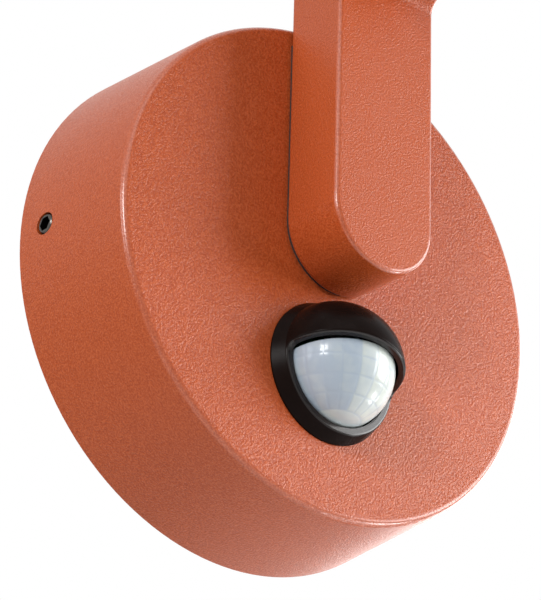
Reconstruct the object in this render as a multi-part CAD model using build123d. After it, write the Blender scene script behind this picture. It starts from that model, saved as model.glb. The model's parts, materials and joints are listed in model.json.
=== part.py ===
from build123d import *
import os
from math import cos, radians, sin

# Sensor base of an outdoor wall light.
#
# The finished object stands with its back on the wall plane Y = 0, faces -Y, and has +Z up. The origin
# is the centre of the base's back. Every piece is drawn lying down, which is easier to read: x to the
# right, y up the wall and z out from the wall. upright() then turns it into the finished frame.

# ---------------------------------------------------------------- driving dimensions, in mm
# base casting
DRUM_R = 60.0
DRUM_DEPTH = 33.8
DRUM_DRAFT = 1.9            # the front is this much smaller in radius than the back
DRUM_EDGE = 1.5             # rounding of the front edge
DRUM_WALL = 3.6             # side wall
DRUM_FACE = 3.5             # front wall
FACE_BACK = DRUM_DEPTH - DRUM_FACE
INNER_CORNER = 1.5          # bevel where the side wall meets the face, inside
RIB_REACH = 5.0
RIB_HALF_T = 0.9
RIB_LOW = 9.0               # the ribs end this far from the wall
RIB_ANGLES = (45, 75, 105, 135, 225, 315)
GASKET_R = DRUM_R - DRUM_WALL / 2
GASKET_W = 1.6
GASKET_T = 1.3

# arm
ARM_W = 28.0
ARM_T = 16.5
ARM_FOOT_Y = 7.8            # centre of the round lower end
ARM_GASKET_T = 0.5
ARM_EDGE = 1.0
ELBOW_Y = 63.5              # where the arm starts to bend forward
ELBOW_INNER_R = 4.0
STUB_LENGTH = 16.0          # straight stretch after the elbow, up to the lamp head's seat
LEAD_BORE_R = 4.0
LEAD_BORE_Y = 29.0
ARM_SCREW_Y = (12.0, 46.0)
ARM_SCREW_R = 2.5
ARM_SCREW_HOLE_R = 2.7
ARM_BACK = DRUM_DEPTH + ARM_GASKET_T
ARM_FRONT = ARM_BACK + ARM_T
ARM_MID = ARM_BACK + ARM_T / 2
ELBOW_Z = ARM_FRONT + ELBOW_INNER_R
STUB_END = ELBOW_Z + STUB_LENGTH
STUB_LOW = ELBOW_Y + ELBOW_INNER_R
STUB_MID = STUB_LOW + ARM_T / 2
HEAD_SCREW_R = 2.0          # the two tapped holes for the lamp head
HEAD_SCREW_X = 8.5
HEAD_SCREW_DEPTH = 9.0

# sensor head
SENSOR_Y = -25.0
BALL_LIFT = 1.5             # the ball's centre stands this far out of the face
BALL_R = 15.2
BALL_INNER_R = 13.6
HOOD_FOOT_R = 16.2
HOOD_FOOT_X = -0.9          # the foot stands a little off the ball's centre
HOOD_FOOT_Y = -0.5
RIM_LIFT = 3.1              # height of the rim's lower half over the face
BROW_Y = -0.8               # the hood's lower edge, over the sensor's centre
BROW_RISE = 0.18            # and how much that edge climbs for each mm out
BROW_SET = -5.2             # degrees; the opening is set this much clockwise of the keyway
RIM_CORNER = 2.0
NECK_R = 14.9
NECK_INNER_R = 13.3
NECK_LENGTH = 5.5
LENS_R = 13.0
LENS_WALL = 0.8
LENS_SEAT_R = 13.26         # the lens's skirt, a snug fit in the neck
LENS_SEAT_TOP = 0.6
LENS_TOP_Y = 0.15           # the lens's cut upper edge, over the sensor's centre
LENS_TOP_RISE = 0.132       # and how much it climbs for each mm out
RUNNING_GAP = 0.08
HOOD_TURN = 60.0            # degrees each way
SKIRT_TOP = 2.7             # the foot's skirt runs into the ball at this height
RING_SEAT_R = 13.98         # o-ring in the neck
RING_R = 14.96
RING_H = 1.0
RING_Z = -1.6

# clip that holds the hood and stops its turn
CLIP_T = 0.8
CLIP_LOW = FACE_BACK - 0.1 - CLIP_T
CLIP_R = 16.4
CLIP_SPLIT = 3.2
GROOVE_R = 13.95
TONGUE_W = 3.0
STOP_R = 18.6
STOP_POST_R = 1.2
STOP_ANGLE = 9.0            # the post stands this much past the end of the turn

# wall bracket
BRACKET_R = 51.0
BRACKET_T = 2.0
BRACKET_SPAN_Y = 40.0       # half the height left after the cuts above and below
DISH_R = 15.0
DISH_LIFT = 2.0
TAB_X = 54.8                # outer side of the tab
TAB_T = 2.0
TAB_W = 14.0
TAB_REACH = 14.0
SLOT_W = 5.0
SLOT_LENGTH = 12.0
SLOT_SPACING = 60.0
GRUB_Z = 8.1                # the side screws' distance from the wall
GRUB_R = 2.5
GRUB_LENGTH = 8.0
GROMMET_WAIST_R = 9.0
GROMMET_FLANGE_R = 11.0
GROMMET_BORE_R = 3.5
EARTH_X = -24.0
EARTH_Y = -17.0
EARTH_COLLAR = 2.0

# electronics
BOARD_R = 44.0
BOARD_FLAT_X = 37.0
BOARD_T = 1.6
BOARD_BACK = 21.4           # distance of the board's rear side from the wall
BOARD_FRONT = BOARD_BACK + BOARD_T
BOARD_SCREW_X = 31.0
BOARD_SCREW_Y = 24.0
CARRIER_FRONT = 28.0
CARRIER_T = 1.6
CARRIER_LUG_X = 22.0
CARRIER_LUG_R = 3.2
SENSOR_BOARD_BACK = CARRIER_FRONT + 0.8
SENSOR_BOARD_T = 1.0
SENSOR_BOARD_R = 10.6
PIN_X = (-2.54, 0, 2.54)    # the link's pins
PIN_Y = SENSOR_Y + 5.0
LEAD_PASS_Y = 38.0          # the lamp lead's way through the board
DIAL_X = {"time_dial": 12.0, "lux_dial": 26.0}
DIAL_Y = -14.0
DIAL_BASE_T = 4.0
DIAL_R = 3.4
PIVOT_R = 1.25
TERMINAL_WELL_R = 1.9
SUPPLY_TERMINAL = {"ways": 3, "pitch": 6.2, "depth": 10.5, "rise": 12.5}
LAMP_TERMINAL = {"ways": 2, "pitch": 5.0, "depth": 8.5, "rise": 9.5}
SUPPLY_AT = (-10.0, -31.0)
LAMP_AT = (14.0, -31.0)

LOW = (Align.CENTER, Align.CENTER, Align.MIN)


# ---------------------------------------------------------------- small helpers
def rod(radius, z_low, z_high, x=0.0, y=0.0):
    """A cylinder along z between two heights."""
    return Pos(x, y, z_low) * Cylinder(radius, z_high - z_low, align=LOW)


def tube(outer, inner, z_low, z_high, x=0.0, y=0.0):
    """A straight tube along z."""
    return rod(outer, z_low, z_high, x, y) - rod(inner, z_low - 1, z_high + 1, x, y)


def block(width, height, z_low, z_high, x=0.0, y=0.0, corner=0.0):
    """A plate with rounded corners, between two heights."""
    outline = RectangleRounded(width, height, corner) if corner else Rectangle(width, height)
    return Pos(x, y, z_low) * extrude(outline, z_high - z_low)


def spun(*points):
    """Turn a closed outline of (radius, height) points about the z axis."""
    return revolve(Plane.XZ * make_face(Polyline(*points, close=True)), Axis.Z)


def rim_edges(part, height):
    """The circular edges at one height."""
    circles = part.edges().filter_by(GeomType.CIRCLE)
    return circles.filter_by(lambda edge: abs(edge.center().Z - height) < 1e-3)


def socket_head(radius, height, z_seat, socket_r, x=0.0, y=0.0, down=True):
    """A pan head with a hexagon drive. It stands on z_seat and, if down, points at the wall."""
    head = rod(radius, 0, height)
    head -= Pos(0, 0, height * 0.4) * extrude(RegularPolygon(socket_r, 6), height)
    turn = Rot(180, 0, 0) if down else Rot(0, 0, 0)
    return Pos(x, y, z_seat) * turn * head


def drum_radius(z, inset=0.0):
    """Radius of the base's side at a height, less an inset."""
    return DRUM_R - DRUM_DRAFT * z / DRUM_DEPTH - inset


def lay(parts):
    """One compound from several separate solids."""
    return Compound(children=[solid for part in parts for solid in part.solids()])


def upright(part):
    """Turn a piece from the drawing's lie into the finished frame."""
    return Rot(90, 0, 0) * part


# ---------------------------------------------------------------- base casting
def drum_housing():
    shell = Cone(DRUM_R, DRUM_R - DRUM_DRAFT, DRUM_DEPTH, align=LOW)
    shell = fillet(rim_edges(shell, DRUM_DEPTH), DRUM_EDGE)
    hollow = Cone(drum_radius(0, DRUM_WALL), drum_radius(FACE_BACK, DRUM_WALL), FACE_BACK, align=LOW)
    hollow = chamfer(rim_edges(hollow, FACE_BACK), INNER_CORNER)
    shell -= hollow

    # ribs between the side wall and the face, tapering towards the mouth
    rib_outline = make_face(
        Polyline(
            (drum_radius(FACE_BACK, DRUM_WALL + RIB_REACH), FACE_BACK + 0.5),
            (drum_radius(FACE_BACK, DRUM_WALL - 1.0), FACE_BACK + 0.5),
            (drum_radius(RIB_LOW, DRUM_WALL - 1.0), RIB_LOW),
            (drum_radius(RIB_LOW, DRUM_WALL + 0.4), RIB_LOW),
            close=True,
        )
    )
    rib = extrude(Plane.XZ * rib_outline, RIB_HALF_T, both=True)
    for angle in RIB_ANGLES:
        shell += Rot(0, 0, angle) * rib

    # bosses for the control board, the sensor carrier and the arm screws
    for x in (-BOARD_SCREW_X, BOARD_SCREW_X):
        for y in (-BOARD_SCREW_Y, BOARD_SCREW_Y):
            boss = Pos(x, y, BOARD_FRONT) * Cone(3.4, 4.2, FACE_BACK - BOARD_FRONT + 0.5, align=LOW)
            shell += boss
            shell -= rod(1.5, BOARD_FRONT - 1, FACE_BACK - 0.5, x, y)
    for side in (-1, 1):
        x = side * CARRIER_LUG_X
        shell += rod(2.8, CARRIER_FRONT, FACE_BACK + 0.5, x, SENSOR_Y)
        shell -= rod(1.3, CARRIER_FRONT - 1, DRUM_DEPTH - 1.3, x, SENSOR_Y)
    for y in ARM_SCREW_Y:
        shell -= rod(ARM_SCREW_HOLE_R, FACE_BACK - 1, DRUM_DEPTH + 1, 0, y)

    # way through for the lamp lead, with a raised lip round it
    shell += rod(LEAD_BORE_R + 2.0, FACE_BACK - 1.2, FACE_BACK + 0.5, 0, LEAD_BORE_Y)
    shell -= rod(LEAD_BORE_R, FACE_BACK - 2, DRUM_DEPTH + 1, 0, LEAD_BORE_Y)

    # seat of the sensor head, with the two posts that stop its turn
    shell -= rod(NECK_R + RUNNING_GAP, FACE_BACK - 1, DRUM_DEPTH + 1, 0, SENSOR_Y)
    for side in (-1, 1):
        angle = radians(90 + side * (HOOD_TURN + STOP_ANGLE))
        post_x = STOP_R * cos(angle)
        post_y = SENSOR_Y + STOP_R * sin(angle)
        shell += rod(STOP_POST_R, CLIP_LOW - 0.3, FACE_BACK + 0.5, post_x, post_y)

    # screw holes in the sides, and the groove for the wall gasket
    side_bore = Pos(0, 0, GRUB_Z) * Rot(0, 90, 0) * Cylinder(GRUB_R + 0.1, 2 * DRUM_R + 2)
    shell -= side_bore
    shell -= tube(GASKET_R + GASKET_W / 2, GASKET_R - GASKET_W / 2, -1, GASKET_T)
    return shell


def wall_gasket():
    return tube(GASKET_R + GASKET_W / 2, GASKET_R - GASKET_W / 2, 0, GASKET_T)


# ---------------------------------------------------------------- wall bracket
def slot(x, y, upright_slot=False):
    """A slot right through the bracket, along x or along y."""
    outline = SlotOverall(SLOT_LENGTH, SLOT_W, rotation=90 if upright_slot else 0)
    return Pos(x, y, -1) * extrude(outline, BRACKET_T + DISH_LIFT + 2)


def wall_bracket():
    plate = spun(
        (0, DISH_LIFT),
        (DISH_R, DISH_LIFT),
        (DISH_R + DISH_LIFT, 0),
        (BRACKET_R, 0),
        (BRACKET_R, BRACKET_T),
        (DISH_R + DISH_LIFT + 0.8, BRACKET_T),
        (DISH_R + 0.8, BRACKET_T + DISH_LIFT),
        (0, BRACKET_T + DISH_LIFT),
    )
    # two segments are cut away, above and below, so that the base's ribs and boards stay in reach
    for side in (-1, 1):
        plate -= block(2 * BRACKET_R, 40, -1, 6, 0, side * (BRACKET_SPAN_Y + 20))
    for side in (-1, 1):
        foot = block(TAB_X - 46.0, TAB_W, 0, BRACKET_T, side * (TAB_X + 46.0) / 2, 0)
        tab = block(TAB_T, TAB_W, 0, TAB_REACH, side * (TAB_X - TAB_T / 2), 0)
        tab = chamfer(tab.edges().filter_by(Axis.X).group_by(Axis.Z)[-1], 2.5)
        plate += foot
        plate += tab
        bend = plate.edges().filter_by(Axis.Y)
        bend = bend.filter_by(lambda edge: abs(edge.center().Z) < 0.01)
        bend = bend.filter_by(lambda edge: abs(edge.center().X - side * TAB_X) < 0.01)
        plate = fillet(bend, 1.8)
        plate += Pos(side * (TAB_X - TAB_T - 0.8), 0, GRUB_Z) * Rot(0, 90, 0) * Cylinder(4.2, 1.6)
    plate -= Pos(0, 0, GRUB_Z) * Rot(0, 90, 0) * Cylinder(GRUB_R, 2 * TAB_X + 2)
    plate -= rod(GROMMET_WAIST_R, -1, 6)
    for side in (-1, 1):
        plate -= slot(side * SLOT_SPACING / 2, 0)
        plate -= slot(0, side * SLOT_SPACING / 2, upright_slot=True)
    # raised collar for the earth screw
    plate += rod(4.2, BRACKET_T - 0.5, BRACKET_T + EARTH_COLLAR, EARTH_X, EARTH_Y)
    plate -= rod(2.0, -1, 6, EARTH_X, EARTH_Y)
    return plate


def grub_screws():
    """Set screws that pass through the base's side into the bracket's tabs."""
    outer_end = drum_radius(GRUB_Z) - 0.5
    screw = rod(GRUB_R, 0, GRUB_LENGTH)
    screw = chamfer(rim_edges(screw, GRUB_LENGTH), 0.4)
    screw = chamfer(rim_edges(screw, 0), 0.5)
    screw -= Pos(0, 0, GRUB_LENGTH - 2.6) * extrude(RegularPolygon(1.45, 6), 3)
    pair = []
    for side in (-1, 1):
        turned = Rot(0, 90 * side, 0) * screw
        pair.append(Pos(side * (outer_end - GRUB_LENGTH), 0, GRUB_Z) * turned)
    return lay(pair)


def cable_grommet():
    low = DISH_LIFT
    high = DISH_LIFT + BRACKET_T
    return spun(
        (GROMMET_BORE_R, low - 1.4),
        (GROMMET_FLANGE_R, low - 1.4),
        (GROMMET_FLANGE_R, low),
        (GROMMET_WAIST_R, low),
        (GROMMET_WAIST_R, high),
        (GROMMET_FLANGE_R, high),
        (10.2, high + 1.4),
        (6.5, high + 1.8),
        (5.2, high + 4.2),
        (GROMMET_BORE_R, high + 4.2),
    )


def earth_screw():
    seat = BRACKET_T + EARTH_COLLAR
    washer = tube(4.0, 2.05, seat, seat + 0.8, EARTH_X, EARTH_Y)
    shank = rod(2.0, 0.3, seat + 0.9, EARTH_X, EARTH_Y)
    head = socket_head(3.6, 2.4, seat + 0.8, 1.4, EARTH_X, EARTH_Y, down=False)
    return washer + shank + head


# ---------------------------------------------------------------- arm
def foot_outline(inset=0.0, top=ELBOW_Y):
    """The arm's outline on the face: a bar with a full-round lower end."""
    half = ARM_W / 2 - inset
    sides = Rectangle(2 * half, top - ARM_FOOT_Y, align=(Align.CENTER, Align.MIN))
    return Pos(0, ARM_FOOT_Y) * (sides + Circle(half))


def side_plane():
    """The drawing plane for the arm's side view: z to the right, y up."""
    return Plane(origin=(0, 0, 0), x_dir=(0, 0, 1), z_dir=(-1, 0, 0))


def arm():
    bar = Pos(0, 0, ARM_BACK) * extrude(foot_outline(), ARM_T)
    outer_r = ELBOW_INNER_R + ARM_T
    with BuildSketch(side_plane()) as side_view:
        with BuildLine():
            front_top = (ARM_FRONT, ELBOW_Y)
            back_top = (ARM_BACK, ELBOW_Y)
            inner = CenterArc((ELBOW_Z, ELBOW_Y), ELBOW_INNER_R, 90, 90)
            outer = CenterArc((ELBOW_Z, ELBOW_Y), outer_r, 90, 90)
            Line(front_top, back_top)
            Line(inner @ 0, (STUB_END, STUB_LOW))
            Line((STUB_END, STUB_LOW), (STUB_END, STUB_LOW + ARM_T))
            Line((STUB_END, STUB_LOW + ARM_T), outer @ 0)
        make_face()
    elbow = extrude(side_view.sketch, ARM_W / 2, both=True)
    body = bar + elbow
    body = fillet(arm_long_edges(body), ARM_EDGE)

    # channel for the lamp lead: cored in from the base, up the arm and out through the seat
    riser = extrude(Plane.XZ * Circle(LEAD_BORE_R), LEAD_BORE_Y - STUB_MID)
    body -= rod(LEAD_BORE_R, ARM_BACK - 1, ARM_MID, 0, LEAD_BORE_Y)
    body -= Pos(0, LEAD_BORE_Y, ARM_MID) * riser
    body -= rod(LEAD_BORE_R, ARM_MID, STUB_END + 1, 0, STUB_MID)
    for y in (LEAD_BORE_Y, STUB_MID):
        body -= Pos(0, y, ARM_MID) * Sphere(LEAD_BORE_R)

    # tapped holes: two from the base, two in the lamp head's seat
    for y in ARM_SCREW_Y:
        body -= rod(ARM_SCREW_R, ARM_BACK - 1, ARM_BACK + 9.0, 0, y)
    for side in (-1, 1):
        body -= rod(HEAD_SCREW_R, STUB_END - HEAD_SCREW_DEPTH, STUB_END + 1, side * HEAD_SCREW_X, STUB_MID)
    return body


def arm_long_edges(body):
    """The arm's outer edges, all but those of its two end faces."""
    wanted = []
    for edge in body.edges():
        middle = edge.position_at(0.5)
        on_back = abs(middle.Z - ARM_BACK) < 1e-3 and middle.Y < ELBOW_Y
        on_seat = abs(middle.Z - STUB_END) < 1e-3
        across = abs(edge.tangent_at(0.5).X) > 0.99
        if not (on_back or on_seat or across and middle.Y > ARM_FOOT_Y):
            wanted.append(edge)
    return wanted


def arm_gasket():
    outline = foot_outline(inset=0.6, top=52.0)
    seal = Pos(0, 0, DRUM_DEPTH) * extrude(outline, ARM_GASKET_T)
    for y in ARM_SCREW_Y:
        seal -= rod(ARM_SCREW_HOLE_R, DRUM_DEPTH - 1, ARM_BACK + 1, 0, y)
    seal -= rod(LEAD_BORE_R, DRUM_DEPTH - 1, ARM_BACK + 1, 0, LEAD_BORE_Y)
    return seal


def arm_screws():
    screws = []
    for y in ARM_SCREW_Y:
        shank = rod(ARM_SCREW_R, FACE_BACK - 0.5, ARM_BACK + 8.0, 0, y)
        screws.append(shank + socket_head(4.6, 3.2, FACE_BACK, 1.9, 0, y))
    return lay(screws)


# ---------------------------------------------------------------- sensor head
def at_sensor(part):
    """Move a piece drawn about the face's origin to the sensor's place on the face."""
    return Pos(0, SENSOR_Y, DRUM_DEPTH) * part


def in_front(lift, height, rise, top):
    """All that lies further out than a lift, between a sloping level and y = top."""
    far = 40.0
    outline = make_face(
        Polyline(
            (lift, height + rise * lift),
            (far, height + rise * far),
            (far, top),
            (lift, top),
            close=True,
        )
    )
    return extrude(side_plane() * outline, far, both=True)


def hood_opening():
    """What is cut from the ball: all in front of the rim's lower half and below the brow."""
    opening = in_front(RIM_LIFT, BROW_Y, BROW_RISE, -40.0)
    corner = opening.edges().filter_by(Axis.X).sort_by_distance((0, BROW_Y, RIM_LIFT))[0]
    return Rot(0, 0, BROW_SET) * fillet(corner, RIM_CORNER)


def hood_cavity():
    """The hollow for the lens: a straight bore below, and a ball under the brow."""
    dome = Pos(0, 0, BALL_LIFT) * Sphere(BALL_INNER_R)
    dome &= rod(BALL_R, RIM_LIFT - 0.3, BALL_LIFT + BALL_R)
    return dome + rod(NECK_INNER_R, -NECK_LENGTH - 1, RIM_LIFT + 1)


def hood_skirt():
    """The foot: a thin round plate, and above it a skirt that runs into the ball."""
    plate = rod(HOOD_FOOT_R, 0, 0.4, HOOD_FOOT_X, HOOD_FOOT_Y)
    top_r = (BALL_R**2 - (SKIRT_TOP - BALL_LIFT) ** 2) ** 0.5
    low = Pos(HOOD_FOOT_X, HOOD_FOOT_Y, 0.4) * Circle(HOOD_FOOT_R)
    high = Pos(0, 0, SKIRT_TOP) * Circle(top_r)
    return plate + loft([low, high], ruled=True)


def sensor_hood():
    # ball standing on a skirt that widens towards the face, all one moulding
    ball = Pos(0, 0, BALL_LIFT) * Sphere(BALL_R)
    ball &= rod(BALL_R + 1, 0, 30)
    neck = rod(NECK_R, -NECK_LENGTH, 0.2)
    body = ball + hood_skirt() + neck
    body -= hood_opening()
    body -= hood_cavity()

    # round the rim: a soft outer edge and a crisp inner one
    outer_rim = [edge for edge in body.edges() if on_hood_rim(edge, BALL_R)]
    body = fillet(outer_rim, 0.55)

    # groove and keyway for the clip, and the groove for the o-ring
    clip_low = CLIP_LOW - DRUM_DEPTH - 0.05
    body -= tube(NECK_R + 1, GROOVE_R - 0.05, clip_low, clip_low + CLIP_T + 0.1)
    body -= block(2.1, 3, -NECK_LENGTH - 1, clip_low + CLIP_T + 0.1, 0, GROOVE_R + 1.2)
    body -= tube(NECK_R + 1, RING_SEAT_R, RING_Z - 0.6, RING_Z + 0.6)
    return at_sensor(body)


def on_hood_rim(edge, radius):
    """True for an edge of the ball's opening that lies on a sphere of this radius."""
    if edge.length < 1.0:
        return False
    for share in (0.1, 0.5, 0.9):
        point = edge.position_at(share) - Vector(0, 0, BALL_LIFT)
        if point.Z < RIM_LIFT - BALL_LIFT - 0.05 or abs(point.length - radius) > 0.05:
            return False
    return True


def hood_clip():
    """A split ring in the neck's groove, with a key to the neck and a tongue for the stops."""
    low = CLIP_LOW - DRUM_DEPTH
    high = low + CLIP_T
    ring = tube(CLIP_R, GROOVE_R, low, high)
    ring -= block(CLIP_SPLIT, 6, low - 1, high + 1, 0, -(GROOVE_R + CLIP_R) / 2)
    root = CLIP_R - 0.8
    tip = STOP_R + 1.0
    ring += block(TONGUE_W, tip - root, low, high, 0, (tip + root) / 2)
    return at_sensor(ring)


def sensor_o_ring():
    ring = tube(RING_R, RING_SEAT_R, RING_Z - RING_H / 2, RING_Z + RING_H / 2)
    circles = ring.edges().filter_by(GeomType.CIRCLE)
    outer_edges = circles.filter_by(lambda edge: edge.radius > RING_SEAT_R + 0.1)
    ring = chamfer(outer_edges, 0.25)
    return at_sensor(ring)


def lens_dome():
    """The lens: a dome with its top cut level, on a skirt that sits in the hood's neck."""
    skirt_end = -NECK_LENGTH
    outer = Pos(0, 0, BALL_LIFT) * Sphere(LENS_R) & rod(LENS_R + 1, BALL_LIFT, 20)
    outer += rod(LENS_R, skirt_end, BALL_LIFT)
    outer += rod(LENS_SEAT_R, skirt_end, LENS_SEAT_TOP)
    inner = Pos(0, 0, BALL_LIFT) * Sphere(LENS_R - LENS_WALL) & rod(LENS_R, BALL_LIFT, 20)
    inner += rod(LENS_R - LENS_WALL, skirt_end - 1, BALL_LIFT)
    return at_sensor(outer - inner - in_front(LENS_SEAT_TOP, LENS_TOP_Y, LENS_TOP_RISE, 40.0))


def sensor_carrier():
    """The chassis behind the lens: a plate with a collar inside the lens's skirt and two lugs."""
    front = CARRIER_FRONT
    back = CARRIER_FRONT - CARRIER_T
    collar_r = LENS_R - LENS_WALL - 0.05
    body = rod(15.0, back, front, 0, SENSOR_Y)
    body += tube(collar_r, collar_r - 1.2, back, front + 2.6, 0, SENSOR_Y)
    for side in (-1, 1):
        lug = Rectangle(CARRIER_LUG_X, 2 * CARRIER_LUG_R)
        lug += Pos(side * CARRIER_LUG_X / 2, 0) * Circle(CARRIER_LUG_R)
        body += Pos(side * CARRIER_LUG_X / 2, SENSOR_Y, back) * extrude(lug, CARRIER_T)
        body -= rod(1.4, back - 1, front + 1, side * CARRIER_LUG_X, SENSOR_Y)
    # posts under the sensor board and the window for its pins
    for angle in (30, 150, 270):
        x = 8.2 * cos(radians(angle))
        y = SENSOR_Y + 8.2 * sin(radians(angle))
        body += rod(1.3, front - 0.5, SENSOR_BOARD_BACK, x, y)
    body -= block(9.0, 3.4, back - 1, front + 1, 0, PIN_Y)
    return body


def carrier_screws():
    screws = []
    seat = CARRIER_FRONT - CARRIER_T
    for side in (-1, 1):
        x = side * CARRIER_LUG_X
        shank = rod(1.3, seat - 0.5, DRUM_DEPTH - 1.5, x, SENSOR_Y)
        screws.append(shank + socket_head(2.4, 1.5, seat, 0.9, x, SENSOR_Y))
    return lay(screws)


def sensor_board():
    board = rod(SENSOR_BOARD_R, SENSOR_BOARD_BACK, SENSOR_BOARD_BACK + SENSOR_BOARD_T, 0, SENSOR_Y)
    for x in PIN_X:
        board -= rod(0.45, 20, 40, x, PIN_Y)
    return board


def pyro_sensor():
    """Metal-can infrared detector with its square window."""
    seat = SENSOR_BOARD_BACK + SENSOR_BOARD_T
    can = rod(4.6, seat, seat + 0.5, 0, SENSOR_Y)
    cap = rod(4.1, seat, seat + 4.2, 0, SENSOR_Y)
    can += chamfer(rim_edges(cap, seat + 4.2), 0.4)
    can += block(1.0, 1.2, seat, seat + 0.5, 3.6, SENSOR_Y + 3.2)
    can -= block(3.9, 2.9, seat + 4.0, seat + 5.0, 0, SENSOR_Y)
    return can


def link_header():
    """Three pins that join the sensor board to the control board."""
    strip = block(7.8, 2.5, BOARD_FRONT, BOARD_FRONT + 2.5, 0, PIN_Y)
    for x in PIN_X:
        strip += rod(0.4, BOARD_FRONT, SENSOR_BOARD_BACK + SENSOR_BOARD_T, x, PIN_Y)
    return strip


# ---------------------------------------------------------------- control board and what stands on it
def control_board():
    outline = Circle(BOARD_R) & Rectangle(2 * BOARD_FLAT_X, 2 * BOARD_R)
    board = Pos(0, 0, BOARD_BACK) * extrude(outline, BOARD_T)
    for x in (-BOARD_SCREW_X, BOARD_SCREW_X):
        for y in (-BOARD_SCREW_Y, BOARD_SCREW_Y):
            board -= rod(1.6, 0, 40, x, y)
    board -= rod(LEAD_BORE_R + 1.0, 0, 40, 0, LEAD_PASS_Y)
    return board


def on_board(part, x, y):
    """Set a component, drawn upwards from z = 0, on the board's rear side, pointing at the wall."""
    return Pos(x, y, BOARD_BACK) * Rot(180, 0, 0) * part


def board_screws():
    screws = []
    for x in (-BOARD_SCREW_X, BOARD_SCREW_X):
        for y in (-BOARD_SCREW_Y, BOARD_SCREW_Y):
            shank = rod(1.45, BOARD_BACK - 0.5, FACE_BACK - 1.5, x, y)
            screws.append(shank + socket_head(2.7, 1.9, BOARD_BACK, 1.1, x, y))
    return lay(screws)


def boxed(width, height, rise, corner=0.8, edge=0.5):
    """A moulded component case standing on z = 0."""
    case = block(width, height, 0, rise, corner=corner)
    return chamfer(case.faces().sort_by(Axis.Z)[-1].edges(), edge)


def power_module():
    case = boxed(34, 22, 13.5, corner=1.2, edge=0.6)
    case -= block(31, 19, 13.2, 14.5, corner=1.0)
    return on_board(case, -9, 20)


def relay():
    case = boxed(7.6, 20.4, 14.6)
    case -= Pos(0, -8.4, 14.6) * Cylinder(0.6, 1.0)
    return on_board(case, 18.5, 20)


def film_capacitor():
    return on_board(boxed(18, 6, 12, corner=0.6, edge=0.4), -16, 1)


def electrolytic_capacitor():
    can = rod(4.0, 0, 11.5)
    can = chamfer(rim_edges(can, 11.5), 0.5)
    can -= tube(4.5, 3.75, 1.4, 2.0)
    vent = block(5.0, 0.35, 11.3, 12) + block(0.35, 5.0, 11.3, 12)
    return on_board(can - vent, 4, 1)


def varistor():
    disc = Pos(0, 0, 5.5) * Rot(0, 90, 0) * Cylinder(4.6, 3.4)
    disc = chamfer(disc.edges().filter_by(GeomType.CIRCLE), 1.0)
    leads = rod(0.4, 0, 4, 0, -2.5) + rod(0.4, 0, 4, 0, 2.5)
    return on_board(disc + leads, 14, 1)


def fuse():
    cap = rod(4.2, 0.4, 7.6)
    cap = chamfer(rim_edges(cap, 7.6), 0.4)
    cap += tube(1.2, 0.6, 0, 0.6)
    return on_board(cap, 26, 3)


def screw_terminal(ways, pitch, depth, rise):
    """A terminal block: wire mouths on the low side and screw wells on top."""
    width = ways * pitch
    case = block(width, depth, 0, rise)
    step = block(width + 1, depth / 3, rise * 0.72, rise + 1, 0, -depth / 3)
    case -= step
    for way in range(ways):
        x = (way - (ways - 1) / 2) * pitch
        case -= block(pitch - 1.4, depth * 0.7, 1.4, 6.0, x, -depth * 0.25)
        case -= rod(TERMINAL_WELL_R, 5.0, rise + 1, x, depth / 6)
    return case


def screw_row(ways, pitch, depth, rise):
    """The screws of a terminal block, standing on the floors of their wells."""
    screws = []
    for way in range(ways):
        x = (way - (ways - 1) / 2) * pitch
        screw = rod(TERMINAL_WELL_R - 0.15, 5.0, rise - 2.2, x, depth / 6)
        screw -= block(2 * TERMINAL_WELL_R, 0.6, rise - 3.0, rise, x, depth / 6)
        screws.append(screw)
    return screws


def terminal_block():
    return on_board(screw_terminal(**SUPPLY_TERMINAL), *SUPPLY_AT)


def lamp_terminal():
    return on_board(screw_terminal(**LAMP_TERMINAL), *LAMP_AT)


def terminal_screws():
    supply = [on_board(screw, *SUPPLY_AT) for screw in screw_row(**SUPPLY_TERMINAL)]
    lamp = [on_board(screw, *LAMP_AT) for screw in screw_row(**LAMP_TERMINAL)]
    return lay(supply + lamp)


def trimmer_housings():
    """The fixed bodies of the two trimmers, each with a round well for its dial."""
    pair = []
    for x in DIAL_X.values():
        case = block(9.6, 9.6, 0, DIAL_BASE_T, corner=0.8)
        case -= rod(DIAL_R + 0.3, 2.4, DIAL_BASE_T + 1)
        case -= rod(PIVOT_R + RUNNING_GAP, 0.8, 3)
        pair.append(on_board(case, x, DIAL_Y))
    return lay(pair)


def trimmer_dial(x):
    """A dial on its pivot, with an arrow-shaped drive and a knurled edge."""
    low = 2.7
    high = 6.2
    dial = rod(DIAL_R, low, high)
    dial = chamfer(rim_edges(dial, high), 0.4)
    for step in range(8):
        notch = block(1.2, 0.9, 4.3, high + 1, DIAL_R, 0)
        dial -= Rot(0, 0, 45 * step + 22.5) * notch
    shaft = Pos(0, -0.8) * Rectangle(0.9, 2.4)
    point = make_face(Polyline((0, 2.3), (1.3, 0.4), (-1.3, 0.4), close=True))
    arrow = shaft + point
    dial -= Pos(0, 0, high - 1.0) * extrude(arrow, 2)
    dial += rod(PIVOT_R, 1.0, low + 0.5)
    return on_board(dial, x, DIAL_Y)


def time_dial():
    return trimmer_dial(DIAL_X["time_dial"])


def lux_dial():
    return trimmer_dial(DIAL_X["lux_dial"])


# ---------------------------------------------------------------- build
PIECES = (
    drum_housing,
    wall_gasket,
    wall_bracket,
    grub_screws,
    cable_grommet,
    earth_screw,
    arm,
    arm_gasket,
    arm_screws,
    sensor_hood,
    hood_clip,
    sensor_o_ring,
    lens_dome,
    sensor_carrier,
    carrier_screws,
    sensor_board,
    pyro_sensor,
    link_header,
    control_board,
    board_screws,
    power_module,
    relay,
    film_capacitor,
    electrolytic_capacitor,
    varistor,
    fuse,
    terminal_block,
    lamp_terminal,
    terminal_screws,
    trimmer_housings,
    time_dial,
    lux_dial,
)


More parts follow.
